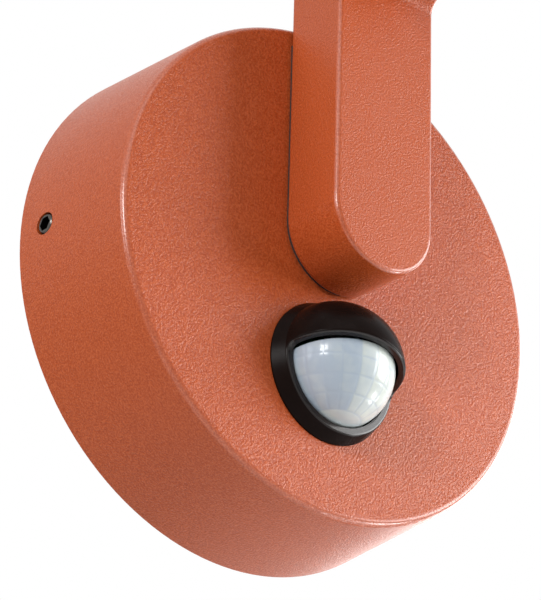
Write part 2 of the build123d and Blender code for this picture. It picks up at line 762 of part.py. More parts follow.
def main():
    os.makedirs("parts", exist_ok=True)
    for piece in PIECES:
        export_step(upright(piece()), f"parts/{piece.__name__}.step")


main()
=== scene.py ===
"""Looks of the sensor base of an outdoor wall light: finishes, small parts, studio and camera."""

import json
import logging
from dataclasses import dataclass, field
from enum import Enum
from math import asin, atan2, cos, degrees, pi, radians, sin
from typing import Any, Callable, Iterable, Optional, Sequence, Union

import bpy
from mathutils import Matrix, Vector


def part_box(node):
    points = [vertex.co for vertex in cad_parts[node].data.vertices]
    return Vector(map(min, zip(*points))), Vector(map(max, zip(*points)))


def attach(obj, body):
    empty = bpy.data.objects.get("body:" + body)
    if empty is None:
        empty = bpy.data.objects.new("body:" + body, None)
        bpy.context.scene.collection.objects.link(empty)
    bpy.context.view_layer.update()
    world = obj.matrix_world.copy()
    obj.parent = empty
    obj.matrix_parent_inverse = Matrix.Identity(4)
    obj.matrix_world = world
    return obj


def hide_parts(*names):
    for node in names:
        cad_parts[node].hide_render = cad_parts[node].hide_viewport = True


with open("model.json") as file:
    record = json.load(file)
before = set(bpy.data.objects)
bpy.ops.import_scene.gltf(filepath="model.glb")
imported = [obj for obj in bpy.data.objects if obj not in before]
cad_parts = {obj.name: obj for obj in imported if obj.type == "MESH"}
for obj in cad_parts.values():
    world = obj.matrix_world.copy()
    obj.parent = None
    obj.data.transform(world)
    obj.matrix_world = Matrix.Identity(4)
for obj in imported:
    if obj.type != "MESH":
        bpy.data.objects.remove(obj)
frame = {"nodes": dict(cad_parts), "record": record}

LOG = logging.getLogger("sensor_base")
MM = 0.001

WAVE_SCALE = 0.314159  # a wave texture at this scale repeats once in each unit

Colour = tuple[float, float, float]
Piece = bpy.types.Object


class Body(Enum):
    """The bodies that new pieces ride on."""

    BASE = "base"
    SENSOR_HEAD = "sensor_head"


class Drive(Enum):
    """What a screwdriver or key finds in a screw head."""

    HEXAGON = "hexagon"
    CROSS = "cross"


# ---------------------------------------------------------------------------------------- shaders
class Wire:
    """One output socket of a shader sheet, which takes part in plain arithmetic."""

    def __init__(self, sheet: "ShaderSheet", socket: Any) -> None:
        """Hold a socket.

        Args:
            sheet: the sheet that the socket's node is on.
            socket: the output socket.
        """
        self.sheet = sheet
        self.socket = socket

    def _with(self, operation: str, first: Any, second: Any) -> "Wire":
        """Add one Math node and return its result."""
        return self.sheet.node("ShaderNodeMath", {"operation": operation}, {0: first, 1: second})

    def __add__(self, other: Any) -> "Wire":
        """self + other."""
        return self._with("ADD", self, other)

    def __sub__(self, other: Any) -> "Wire":
        """self - other."""
        return self._with("SUBTRACT", self, other)

    def __rsub__(self, other: Any) -> "Wire":
        """other - self."""
        return self._with("SUBTRACT", other, self)

    def __mul__(self, other: Any) -> "Wire":
        """self * other."""
        return self._with("MULTIPLY", self, other)

    def __gt__(self, other: Any) -> "Wire":
        """1 where self is above other, and 0 elsewhere."""
        return self._with("GREATER_THAN", self, other)

    def at_most(self, limit: float) -> "Wire":
        """The smaller of self and a limit."""
        return self._with("MINIMUM", self, limit)

    def power(self, exponent: float) -> "Wire":
        """self to a power."""
        return self._with("POWER", self, exponent)

    def between(self, low: float, high: float, soft: bool = True) -> "Wire":
        """Map low..high to 0..1, hold it there outside, and ease in and out where soft."""
        settings = {"interpolation_type": "SMOOTHSTEP" if soft else "LINEAR"}
        limits = {"Value": self, "From Min": low, "From Max": high}
        return self.sheet.node("ShaderNodeMapRange", settings, limits)


class ShaderSheet:
    """The node tree of a material or of the world, with short ways to fill it."""

    def __init__(self, owner: Union[str, bpy.types.World]) -> None:
        """Start an empty sheet.

        Args:
            owner: a new material's name, or the world.
        """
        self.owner = bpy.data.materials.new(owner) if isinstance(owner, str) else owner
        self.owner.use_nodes = True
        self.tree = self.owner.node_tree
        self.tree.nodes.clear()

    def node(
        self,
        kind: str,
        settings: Optional[dict[str, Any]] = None,
        inputs: Optional[dict[Union[str, int], Any]] = None,
        output: Union[str, int] = 0,
    ) -> Wire:
        """Add a node of any type.

        Args:
            kind: the node's type.
            settings: its own settings, set before its sockets.
            inputs: values or wires for its input sockets, by name or number.
            output: the output socket to return, by name or number.

        Returns:
            The chosen output.
        """
        made = self.tree.nodes.new(kind)
        for key, value in (settings or {}).items():
            setattr(made, key, value)
        for key, value in (inputs or {}).items():
            target = made.inputs[key]
            if isinstance(value, Wire):
                self.tree.links.new(value.socket, target)
            elif target.type == "RGBA" and len(value) == 3:
                target.default_value = (*value, 1.0)
            else:
                target.default_value = value
        return Wire(self, made.outputs[output]) if len(made.outputs) else Wire(self, None)

    def place(self, centre: Sequence[float] = (0, 0, 0), turn: Sequence[float] = (0, 0, 0),
              stretch: Sequence[float] = (1, 1, 1)) -> Wire:
        """Object coordinates, in metres, moved so that a pattern is centred, turned or stretched.

        Args:
            centre: the point that becomes the pattern's origin.
            turn: the pattern's turn, in radians.
            stretch: how much denser the pattern is along each axis.

        Returns:
            The coordinates.
        """
        coordinates = self.node("ShaderNodeTexCoord", output="Object")
        if not any(centre) and not any(turn) and tuple(stretch) == (1, 1, 1):
            return coordinates
        moved = tuple(-c for c in centre)
        shifted = self.node("ShaderNodeMapping", None, {"Vector": coordinates, "Location": moved})
        shape = {"Vector": shifted, "Rotation": tuple(turn), "Scale": tuple(stretch)}
        return self.node("ShaderNodeMapping", None, shape)

    def noise(self, grain: float, detail: float = 2.0, roughness: float = 0.5,
              at: Optional[Wire] = None) -> Wire:
        """Soft noise whose blobs are about one grain across.

        Args:
            grain: the size of a blob, in metres.
            detail: how many finer layers lie on it.
            roughness: how strong those layers are.
            at: the coordinates, or the plain Object coordinates.

        Returns:
            The noise, from 0 to 1.
        """
        where = {"Vector": at or self.place(), "Scale": 1.0 / grain}
        return self.node("ShaderNodeTexNoise", None, {**where, "Detail": detail, "Roughness": roughness})

    def cells(self, grain: float) -> Wire:
        """The distance from the middle of Voronoi cells about one grain across."""
        values = {"Vector": self.place(), "Scale": 1.0 / grain}
        return self.node("ShaderNodeTexVoronoi", {"feature": "F1"}, values, "Distance")

    def blend(self, share: Any, low: Any, high: Any) -> Wire:
        """Mix two colours or wires: a share of 0 gives low, and 1 gives high."""
        values = {0: share, 6: low, 7: high}
        return self.node("ShaderNodeMix", {"data_type": "RGBA"}, values, 2)

    def bump(self, height: Wire, depth: float) -> Wire:
        """The normal of a height from 0 to 1, where 1 stands a depth in metres above 0."""
        return self.node("ShaderNodeBump", None, {"Height": height, "Distance": depth})

    def finish(self, inputs: dict[Union[str, int], Any]) -> bpy.types.Material:
        """Close the sheet with one surface shader, and return the material."""
        surface = self.node("ShaderNodeBsdfPrincipled", None, inputs)
        self.node("ShaderNodeOutputMaterial", None, {"Surface": surface})
        return self.owner

    def seen_straight(self) -> Wire:
        """1 for what the camera sees straight, in a gloss or through a clear piece, and 0 as a light."""
        seen = self.node("ShaderNodeLightPath", output="Is Camera Ray")
        for ray in ("Is Glossy Ray", "Is Transmission Ray"):
            other = self.node("ShaderNodeLightPath", output=ray)
            seen = self.node("ShaderNodeMath", {"operation": "MAXIMUM"}, {0: seen, 1: other})
        return seen


# --------------------------------------------------------------------------------------- finishes
@dataclass(frozen=True)
class FrontEdge:
    """The rounded front edge of a flat form: round about a centre, or a bar with one round end."""

    radius: float
    front: float
    width: float
    centre_up: float = 0.0
    bar: bool = False

    def mask(self, sheet: ShaderSheet) -> Wire:
        """1 on the rounding and 0 on the flats beside it."""
        at = sheet.place()
        across, depth, height = (
            sheet.node("ShaderNodeSeparateXYZ", None, {0: at}, axis) for axis in "XYZ")
        up = height - self.centre_up
        if self.bar:
            up = up.at_most(0.0)
        out = (across * across + up * up).power(0.5)
        on_side = out.between(self.radius - self.width, self.radius - self.width * 0.45)
        on_front = (depth * -1).between(self.front - self.width, self.front - self.width * 0.45)
        return on_side * on_front


@dataclass(frozen=True)
class PowderCoat:
    """A baked powder coat with a fine sand grain that sparkles where light grazes it."""

    colour: Colour
    pale: Colour
    edge: FrontEdge
    grain: float = 0.40 * MM
    depth: float = 0.125 * MM
    roughness: float = 0.33
    gloss: float = 0.25

    def build(self, name: str) -> bpy.types.Material:
        """Make the material."""
        sheet = ShaderSheet(name)
        sand = sheet.noise(self.grain, 1.0, 0.6)
        pebbles = sheet.cells(self.grain * 1.3)
        cloud = sheet.noise(24 * MM, 1.0)
        speckle = sand.between(0.34, 0.68, soft=False)
        edge = self.edge.mask(sheet)
        return sheet.finish({
            "Base Color": sheet.blend(speckle * 0.9 + cloud * 0.1, self.colour, self.pale),
            "Roughness": speckle * -0.10 + (self.roughness + 0.05),
            "Specular IOR Level": self.gloss,
            "Coat Weight": edge * (speckle * 0.3 + 0.7),
            "Coat Roughness": 0.20,
            "Normal": sheet.bump(sand + pebbles * 0.35, self.depth),
        })


@dataclass(frozen=True)
class Moulding:
    """Moulded plastic or rubber: an even body colour with faint flow marks and a fine grain."""

    colour: Colour
    pale: Colour
    roughness: float = 0.4
    grain: float = 0.35 * MM
    depth: float = 0.006 * MM
    scuff: float = 0.08
    specular: float = 0.5

    def build(self, name: str) -> bpy.types.Material:
        """Make the material."""
        sheet = ShaderSheet(name)
        grain = sheet.noise(self.grain, 2.0)
        flow = sheet.noise(9 * MM, 3.0, at=sheet.place(stretch=(1, 1, 0.35)))
        marks = flow.between(0.4, 0.75)
        share = marks * 0.5 + grain.between(0.4, 0.9) * 0.2
        return sheet.finish({
            "Base Color": sheet.blend(share, self.colour, self.pale),
            "Roughness": marks * self.scuff + self.roughness,
            "Specular IOR Level": self.specular,
            "Normal": sheet.bump(grain + flow * 0.6, self.depth),
        })


@dataclass(frozen=True)
class HoodShell:
    """Satin black moulding whose rim, inside the ball's own radius, is polished."""

    colour: Colour = (0.0066, 0.0034, 0.0028)
    pale: Colour = (0.0100, 0.0056, 0.0046)
    centre: tuple[float, float, float] = (0.0, -35.3 * MM, -25.0 * MM)
    ball_radius: float = 15.2 * MM
    specular: float = 0.03

    def build(self, name: str) -> bpy.types.Material:
        """Make the material."""
        sheet = ShaderSheet(name)
        grain = sheet.noise(0.3 * MM, 2.0)
        flow = sheet.noise(9 * MM, 3.0)
        measure = {"operation": "DISTANCE"}
        away = sheet.node("ShaderNodeVectorMath", measure, {0: sheet.place(), 1: self.centre}, "Value")
        rim = 1 - away.between(self.ball_radius - 0.30 * MM, self.ball_radius - 0.03 * MM)
        share = flow.between(0.4, 0.75) * 0.6 + grain * 0.2
        return sheet.finish({
            "Base Color": sheet.blend(share, self.colour, self.pale),
            "Roughness": flow * 0.06 + 0.24,
            "Specular IOR Level": self.specular,
            "Coat Weight": rim * 0.65,
            "Coat Roughness": 0.16,
            "Normal": sheet.bump(grain + flow * 0.5, 0.004 * MM),
        })


@dataclass(frozen=True)
class MilkyDome:
    """Translucent white polyethylene with a clear outer skin over the lens facets, its colour painted light
    and shade from facet to facet.
    """

    # colour is a painted shaded tone (bluish grey) and pale a painted lit tone of the same milky plastic.
    colour: Colour = (0.375, 0.44, 0.515)
    pale: Colour = (0.58, 0.62, 0.58)
    tint_layer: str = "facet_tint"

    def build(self, name: str) -> bpy.types.Material:
        """Make the material."""
        sheet = ShaderSheet(name)
        # The facet attribute holds painted light and shade per facet, from the shaded tone to the lit tone;
        # the mottle adds random tone.
        facet = sheet.node("ShaderNodeAttribute", {"attribute_name": self.tint_layer}, output="Fac")
        haze = sheet.noise(5 * MM, 2.0)
        mottle = sheet.noise(2.6 * MM, 1.0)
        ring = sheet.noise(0.5 * MM, 1.0)
        share = facet + mottle.between(0.35, 0.7) * 0.22 - 0.10
        return sheet.finish({
            "Base Color": sheet.blend(share, self.colour, self.pale),
            "Roughness": haze * 0.08 + 0.26,
            "Specular IOR Level": 0.16,
            "Coat Weight": haze * 0.10 + 0.32,
            "Coat Roughness": 0.13,
            "Normal": sheet.bump(ring + haze * 2.0, 0.006 * MM),
        })


@dataclass(frozen=True)
class Plating:
    """Plated or bare metal with fine brush lines and cloudy passivation."""

    colour: Colour
    stain: Colour
    roughness: float = 0.34
    along: tuple[float, float, float] = (0.06, 1, 1)
    brush: float = 0.4 * MM

    def build(self, name: str) -> bpy.types.Material:
        """Make the material."""
        sheet = ShaderSheet(name)
        lines = sheet.noise(self.brush, 3.0, at=sheet.place(stretch=self.along))
        cloud = sheet.noise(7 * MM, 3.0)
        share = cloud.between(0.35, 0.7) * 0.6 + lines * 0.2
        return sheet.finish({
            "Base Color": sheet.blend(share, self.colour, self.stain),
            "Metallic": 1.0,
            "Roughness": lines * 0.14 + cloud * 0.10 + self.roughness - 0.1,
            "Normal": sheet.bump(lines, 0.006 * MM),
        })


@dataclass(frozen=True)
class CircuitBoard:
    """Solder resist over glass fibre, with covered tracks and the weave just showing."""

    colour: Colour = (0.016, 0.105, 0.045)
    track: Colour = (0.035, 0.19, 0.075)

    @staticmethod
    def _tracks(sheet: ShaderSheet, axis: str, pitch: float, patch: float) -> Wire:
        """Parallel tracks in square-cornered patches.

        Args:
            sheet: the sheet to draw on.
            axis: the axis that the tracks are counted along.
            pitch: the step from track to track, in metres.
            patch: the size of a patch, in metres.

        Returns:
            1 on a track and 0 elsewhere.
        """
        bands = {"wave_type": "BANDS", "bands_direction": axis, "wave_profile": "SIN"}
        pace = {"Vector": sheet.place(), "Scale": WAVE_SCALE / pitch}
        wave = sheet.node("ShaderNodeTexWave", bands, pace, "Fac")
        squares = {"feature": "F1", "distance": "CHEBYCHEV"}
        flat = sheet.place(centre=(pitch, 0, pitch), stretch=(1, 0.001, 1))
        grid = {"Vector": flat, "Scale": 1.0 / patch}
        patches = sheet.node("ShaderNodeTexVoronoi", squares, grid, "Color")
        return (wave > 0.82) * (patches > 0.52)

    def build(self, name: str) -> bpy.types.Material:
        """Make the material."""
        sheet = ShaderSheet(name)
        across = self._tracks(sheet, "X", 1.9 * MM, 8.5 * MM)
        upward = self._tracks(sheet, "Z", 1.9 * MM, 11.0 * MM)
        copper = sheet.node("ShaderNodeMath", {"operation": "MAXIMUM"}, {0: across, 1: upward})
        threads = {"Vector": sheet.place(), "Scale": 900.0}
        weave = sheet.node("ShaderNodeTexWave", {"wave_type": "BANDS"}, threads)
        return sheet.finish({
            "Base Color": sheet.blend(copper + weave * 0.06, self.colour, self.track),
            "Roughness": weave * 0.06 + 0.27,
            "Coat Weight": 0.3,
            "Normal": sheet.bump(copper, 0.035 * MM),
        })


TERRACOTTA: Colour = (0.345, 0.051, 0.008)
TERRACOTTA_PALE: Colour = (0.490, 0.100, 0.028)

FINISHES = {
    "base_coat": PowderCoat(TERRACOTTA, TERRACOTTA_PALE, FrontEdge(58.1 * MM, 33.8 * MM, 1.5 * MM)),
    "arm_coat": PowderCoat(TERRACOTTA, TERRACOTTA_PALE,
                           FrontEdge(14.0 * MM, 50.8 * MM, 1.0 * MM, centre_up=7.8 * MM, bar=True)),
    "hood_black": HoodShell(),
    "lens_milk": MilkyDome(),
    "black_screw": Plating((0.045, 0.042, 0.04), (0.10, 0.09, 0.08), 0.27),
    "zinc_plate": Plating((0.63, 0.64, 0.66), (0.52, 0.53, 0.50), 0.36),
    "zinc_screw": Plating((0.66, 0.66, 0.67), (0.54, 0.53, 0.49), 0.30, brush=0.2 * MM),
    "brass_screw": Plating((0.72, 0.52, 0.22), (0.60, 0.42, 0.18), 0.30, brush=0.2 * MM),
    "spring_steel": Plating((0.20, 0.20, 0.21), (0.30, 0.29, 0.28), 0.42),
    "rubber_seal": Moulding((0.016, 0.016, 0.016), (0.03, 0.03, 0.03), 0.72, 0.5 * MM, 0.02 * MM),
    "grommet_rubber": Moulding((0.028, 0.028, 0.030), (0.05, 0.05, 0.05), 0.62, 0.5 * MM, 0.02 * MM),
    "carrier_nylon": Moulding((0.66, 0.64, 0.58), (0.74, 0.73, 0.68), 0.45),
    "board_resin": CircuitBoard(),
    "can_nickel": Plating((0.62, 0.60, 0.57), (0.70, 0.69, 0.66), 0.24, brush=0.15 * MM),
    "header_black": Moulding((0.02, 0.02, 0.02), (0.035, 0.035, 0.035), 0.5),
    "module_black": Moulding((0.017, 0.017, 0.019), (0.04, 0.04, 0.042), 0.5, 0.25 * MM, 0.02 * MM),
    "relay_blue": Moulding((0.020, 0.075, 0.30), (0.035, 0.11, 0.38), 0.28),
    "film_yellow": Moulding((0.66, 0.40, 0.025), (0.76, 0.50, 0.06), 0.30),
    "sleeve_dark": Moulding((0.012, 0.014, 0.028), (0.03, 0.035, 0.06), 0.26),
    "varistor_blue": Moulding((0.015, 0.055, 0.22), (0.03, 0.09, 0.30), 0.24, 0.8 * MM, 0.03 * MM),
    "fuse_brown": Moulding((0.055, 0.020, 0.011), (0.09, 0.035, 0.02), 0.36),
    "terminal_grey": Moulding((0.27, 0.28, 0.29), (0.36, 0.37, 0.38), 0.42),
    "trimmer_blue": Moulding((0.012, 0.035, 0.16), (0.025, 0.06, 0.22), 0.38),
    "dial_white": Moulding((0.72, 0.70, 0.63), (0.80, 0.79, 0.74), 0.42),
}


class Wardrobe:
    """Makes each finish once, and dresses nodes and pieces in it."""

    def __init__(self) -> None:
        """Build every finish."""
        self.made = {slot: finish.build(slot + "_look") for slot, finish in FINISHES.items()}
        self.slots = {entry["node"]: entry["material_slot"] for entry in frame["record"]["subparts"]}

    def dress_nodes(self) -> None:
        """Give every CAD node the finish of its slot."""
        for name, node in frame["nodes"].items():
            for holder in node.material_slots:
                holder.material = self.made[self.slots[name]]

    def dress(self, piece: Piece, slot: str) -> None:
        """Give a new piece the finish of a material slot of the record."""
        piece.data.materials.clear()
        piece.data.materials.append(self.made[slot])


# ------------------------------------------------------------------------------------- mesh tools
def deselect() -> None:
    """Leave edit mode and select nothing."""
    if bpy.context.object and bpy.context.object.mode != "OBJECT":
        object_mode()
    bpy.ops.object.select_all(action="DESELECT")


def only(piece: Piece) -> None:
    """Select one object and make it the active one."""
    deselect()
    piece.select_set(True)
    bpy.context.view_layer.objects.active = piece


def named(name: str) -> Piece:
    """Name the object that was just added, and return it."""
    made = bpy.context.object
    made.name = name
    made.data.name = name
    return made


def object_mode() -> None:
    """Leave edit mode."""
    bpy.ops.object.mode_set(mode="OBJECT")


def extrude(x: float, y: float, z: float) -> None:
    """Extrude what is selected along a vector, in metres."""
    bpy.ops.mesh.extrude_region_move(TRANSFORM_OT_translate={"value": (x, y, z)})


def settle(piece: Piece) -> None:
    """Put a piece's place, turn and scale into its mesh."""
    only(piece)
    bpy.ops.object.transform_apply(location=True, rotation=True, scale=True)


def cylinder(name: str, sides: int, radius: float, depth: float, middle: Sequence[float]) -> Piece:
    """Add an upright cylinder, to be shaped further."""
    deselect()
    bpy.ops.mesh.primitive_cylinder_add(vertices=sides, radius=radius, depth=depth, location=middle)
    made = named(name)
    settle(made)
    return made


def apply_modifiers(piece: Piece) -> None:
    """Apply every modifier in order."""
    only(piece)
    for modifier in list(piece.modifiers):
        bpy.ops.object.modifier_apply(modifier=modifier.name)


def pick(piece: Piece, mode: str, wanted: Callable[[Any], bool]) -> None:
    """Select faces or edges by a test, and open edit mode.

    Args:
        piece: the piece to work on.
        mode: FACE or EDGE.
        wanted: the test, given a face or an edge.
    """
    only(piece)
    bpy.ops.object.mode_set(mode="EDIT")
    bpy.ops.mesh.select_mode(type=mode)
    bpy.ops.mesh.select_all(action="DESELECT")
    object_mode()
    for item in piece.data.polygons if mode == "FACE" else piece.data.edges:
        item.select = wanted(item)
    bpy.ops.object.mode_set(mode="EDIT")


def pick_faces(piece: Piece, wanted: Callable[[bpy.types.MeshPolygon], bool]) -> None:
    """Select faces by a test, and open edit mode in face mode."""
    pick(piece, "FACE", wanted)


def pick_edges(piece: Piece, wanted: Callable[[Vector, Vector], bool]) -> None:
    """Select edges by a test on their two ends, and open edit mode in edge mode."""
    points = piece.data.vertices
    pick(piece, "EDGE", lambda edge: wanted(*(points[index].co for index in edge.vertices)))


def recalculate(piece: Piece) -> None:
    """Merge doubles and turn every face outwards."""
    only(piece)
    bpy.ops.object.mode_set(mode="EDIT")
    bpy.ops.mesh.select_all(action="SELECT")
    bpy.ops.mesh.remove_doubles(threshold=1e-6)
    bpy.ops.mesh.normals_make_consistent(inside=False)
    object_mode()


def smooth(piece: Piece, angle: float = 35.0) -> None:
    """Shade a piece smooth, but for edges sharper than an angle in degrees."""
    only(piece)
    bpy.ops.object.shade_smooth_by_angle(angle=radians(angle))


def cut_away(piece: Piece, cutter: Piece) -> None:
    """Take a closed cutter's volume out of a piece, and remove the cutter."""
    cut = piece.modifiers.new("cut", "BOOLEAN")
    cut.operation = "DIFFERENCE"
    cut.solver = "EXACT"
    cut.object = cutter
    apply_modifiers(piece)
    bpy.data.objects.remove(cutter)


def place_copy(model: Piece, name: str, spot: Vector, turn: Matrix) -> Piece:
    """Copy a finished piece to a place, with a mesh of its own.

    Args:
        model: the piece to copy, at the origin.
        name: the copy's name.
        spot: where the origin of the model goes.
        turn: how the model is turned.

    Returns:
        The copy.
    """
    copy = model.copy()
    copy.data = model.data.copy()
    copy.name = name
    copy.data.name = name
    bpy.context.scene.collection.objects.link(copy)
    copy.matrix_world = Matrix.Translation(spot) @ turn.to_4x4()
    settle(copy)
    return copy


def join(pieces: Sequence[Piece], name: str) -> Piece:
    """Join pieces into one object, and name it."""
    deselect()
    for piece in pieces:
        piece.select_set(True)
    bpy.context.view_layer.objects.active = pieces[0]
    if len(pieces) > 1:
        bpy.ops.object.join()
    return named(name)


# ------------------------------------------------------------------------------------- fasteners
@dataclass
class Fastener:
    """A screw with a real thread, drawn shank down under z = 0. Its sizes are given in millimetres."""

    name: str
    shank_r: float
    shank_length: float
    head_r: float
    head_height: float
    drive: Drive
    drive_size: float
    drive_depth: float
    pitch: float
    thread_depth: float
    rounding: float = 0.16
    chamfer: float = 0.25
    turns_round: int = 24

    def __post_init__(self) -> None:
        """Turn the sizes into metres."""
        for size in ("shank_r", "shank_length", "head_r", "head_height", "drive_size", "drive_depth",
                     "pitch", "thread_depth", "chamfer"):
            setattr(self, size, getattr(self, size) * MM)

    def model(self) -> Piece:
        """Make one screw at the origin."""
        core = self._core()
        pieces = [core, self._thread()]
        if self.head_height > 0:
            head = self._head()
            self._cut_drive(head)
            pieces.append(head)
        else:
            self._cut_drive(core)
        screw = join(pieces, self.name)
        smooth(screw, 30)
        return screw

    def _core(self) -> Piece:
        """Make the core of the shank, both ends chamfered. It reaches a little into the head."""
        root = self.shank_r - self.thread_depth
        top = self.head_height * 0.15
        middle = (0, 0, (top - self.shank_length) / 2)
        core = cylinder(self.name + "_core", 48, root, self.shank_length + top, middle)
        pick_faces(core, lambda face: abs(face.normal.z) > 0.9)
        bpy.ops.mesh.bevel(offset=self.chamfer, segments=1, affect="EDGES")
        object_mode()
        return core

    def _thread(self) -> Piece:
        """Wind a ridge round the core and close both of its ends."""
        deselect()
        sunk = self.shank_r - self.thread_depth * 1.3
        low = -self.shank_length + self.chamfer
        bpy.ops.mesh.primitive_circle_add(vertices=3, radius=self.pitch)
        thread = named(self.name + "_thread")
        outline = ((sunk, low), (self.shank_r, low + self.pitch * 0.36), (sunk, low + self.pitch * 0.72))
        for point, (radius, height) in zip(thread.data.vertices, outline):
            point.co = (radius, 0, height)
        wound = thread.modifiers.new("wound", "SCREW")
        wound.axis = "Z"
        wound.angle = 2 * pi
        wound.screw_offset = self.pitch
        wound.iterations = max(1, int((self.shank_length - self.chamfer - 0.2 * MM) / self.pitch) - 1)
        wound.steps = self.turns_round
        wound.render_steps = self.turns_round
        apply_modifiers(thread)
        only(thread)
        bpy.ops.object.mode_set(mode="EDIT")
        bpy.ops.mesh.select_all(action="SELECT")
        bpy.ops.mesh.fill_holes(sides=3)
        object_mode()
        recalculate(thread)
        return thread

    def _head(self) -> Piece:
        """Make a pan head on the shank."""
        head = cylinder(self.name + "_head", 40, self.head_r, self.head_height, (0, 0, self.head_height / 2))
        pick_faces(head, lambda face: face.normal.z > 0.9)
        bpy.ops.mesh.bevel(offset=self.head_height * self.rounding, segments=4, affect="EDGES")
        object_mode()
        return head

    def _cut_drive(self, screw: Piece) -> None:
        """Sink the drive into the head."""
        top = self.head_height
        cutters = []
        if self.drive is Drive.HEXAGON:
            sunk = 2 * self.drive_depth
            cutters.append(cylinder(self.name + "_cutter", 6, self.drive_size, sunk, (0, 0, top)))
        else:
            for turn in (0.0, pi / 2):
                deselect()
                blade = (2 * self.drive_size, self.drive_size * 0.34, 2 * self.drive_depth)
                bpy.ops.mesh.primitive_cube_add(size=1, location=(0, 0, top), rotation=(0, 0, turn),
                                                scale=blade)
                cutters.append(named(self.name + "_cutter"))
        for cutter in cutters:
            settle(cutter)
            cut_away(screw, cutter)


# ------------------------------------------------------------------------------------ sensor head
@dataclass
class LensDome:
    """The milky dome: small lenses moulded side by side, a skirt behind, and a top cut off level."""

    radius: float = 13.0 * MM
    wall: float = 0.8 * MM
    seat_radius: float = 13.26 * MM
    seat_front: float = -34.4 * MM
    skirt_back: float = -28.3 * MM
    centre: Vector = field(default_factory=lambda: Vector((0.0, -35.3 * MM, -25.0 * MM)))
    cut_height: float = -24.771 * MM
    cut_rise: float = 0.132
    grid_step: float = 3.75
    tiers: tuple[float, ...] = (-63.75, -45.0, -26.25, -7.5)
    first_meridian: float = -15.0
    meridian_step: float = 18.75
    border: float = 0.24 * MM
    bulge: float = 0.045 * MM

    def build(self, wardrobe: Wardrobe) -> Piece:
        """Make the dome in place of its solid, and dress it."""
        deselect()
        around, down = int(360 / self.grid_step), int(180 / self.grid_step)
        bpy.ops.mesh.primitive_uv_sphere_add(segments=around, ring_count=down, location=tuple(self.centre),
                                             radius=self.radius - self.bulge)
        dome = named("lens_dome_faceted")
        settle(dome)
        pick_faces(dome, lambda face: face.center.y > self.centre.y)
        bpy.ops.mesh.delete(type="FACE")
        object_mode()
        self._raise_facets(dome)
        self._add_skirt(dome)
        thick = dome.modifiers.new("wall", "SOLIDIFY")
        thick.thickness = self.wall
        thick.offset = -1
        apply_modifiers(dome)
        self._cut_top(dome)
        self._tint(dome)
        smooth(dome, 40)
        wardrobe.dress(dome, "lens_milk")
        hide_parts("lens_dome")
        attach(dome, Body.SENSOR_HEAD.value)
        return dome

    def angles(self, point: Vector) -> tuple[float, float]:
        """Longitude and latitude of a point, in degrees."""
        away = point - self.centre
        lon = degrees(atan2(away.x, -away.y))
        lat = degrees(asin(max(-1.0, min(1.0, away.z / max(away.length, 1e-9)))))
        return lon, lat

    def facet(self, point: Vector) -> tuple[int, int]:
        """Column and tier of the small lens at a point. All columns share the lowest tier."""
        lon, lat = self.angles(point)
        tier = sum(lat > limit for limit in self.tiers)
        column = int((lon - self.first_meridian) // self.meridian_step)
        return (column if tier else 0, tier)

    def _raise_facets(self, dome: Piece) -> None:
        """Inset each small lens from its borders and raise it a little."""
        for name in sorted({self.facet(face.center) for face in dome.data.polygons}):
            pick_faces(dome, lambda face: self.facet(face.center) == name)
            bpy.ops.mesh.inset(thickness=self.border, use_boundary=False)
            bpy.ops.transform.shrink_fatten(value=self.bulge)
            object_mode()

    def _add_skirt(self, dome: Piece) -> None:
        """Draw the dome's open edge back to its seat, step out there, and run on into the neck."""
        edge_y = self.centre.y
        pick_edges(dome, lambda a, b: abs(a.y - edge_y) < 1e-6 and abs(b.y - edge_y) < 1e-6)
        extrude(0, self.seat_front - edge_y, 0)
        extrude(0, 0, 0)
        wider = self.seat_radius / (self.radius - self.bulge)
        middle = (0, self.seat_front, self.centre.z)
        bpy.ops.transform.resize(value=(wider, 1, wider), center_override=middle)
        extrude(0, self.skirt_back - self.seat_front, 0)
        object_mode()
        recalculate(dome)

    def _cut_top(self, dome: Piece) -> None:
        """Cut off what stands above the sloping top edge, in front of the seat."""
        deselect()
        far = 30 * MM
        middle = (0, self.seat_front - far, self.cut_height + far)
        bpy.ops.mesh.primitive_cube_add(size=2 * far, location=middle)
        wedge = named("top_cutter")
        settle(wedge)
        low, out = self.cut_height + far / 2, self.seat_front - far
        pick_edges(wedge, lambda a, b: max(a.z, b.z) < low and max(a.y, b.y) < out)
        bpy.ops.transform.translate(value=(0, 0, 2 * far * self.cut_rise))
        object_mode()
        cut_away(dome, wedge)

    def _tint(self, dome: Piece) -> None:
        """Paint each facet a share of painted light: paler to the right, where the key light falls, painted
        shade in the sunk borders, and a tone that varies from facet to facet.
        """
        layer = dome.data.attributes.new(FINISHES["lens_milk"].tint_layer, "FLOAT", "CORNER")
        for face in dome.data.polygons:
            column, tier = self.facet(face.center)
            share = 0.10 + 0.10 * sin(column * 2.4 + tier * 1.7)
            # Painted highlight on the facets right of the first meridian, stronger on those further right.
            share += 0.55 * (column >= 0) + 0.25 * (column >= 1)
            # Painted shade on the faces sunk below the raised lenses: the borders between them and the inner
            # wall.
            if (face.center - self.centre).length < self.radius - 0.6 * self.bulge:
                share -= 0.30
            for corner in face.loop_indices:
                layer.data[corner].value = max(0.0, min(1.0, share))


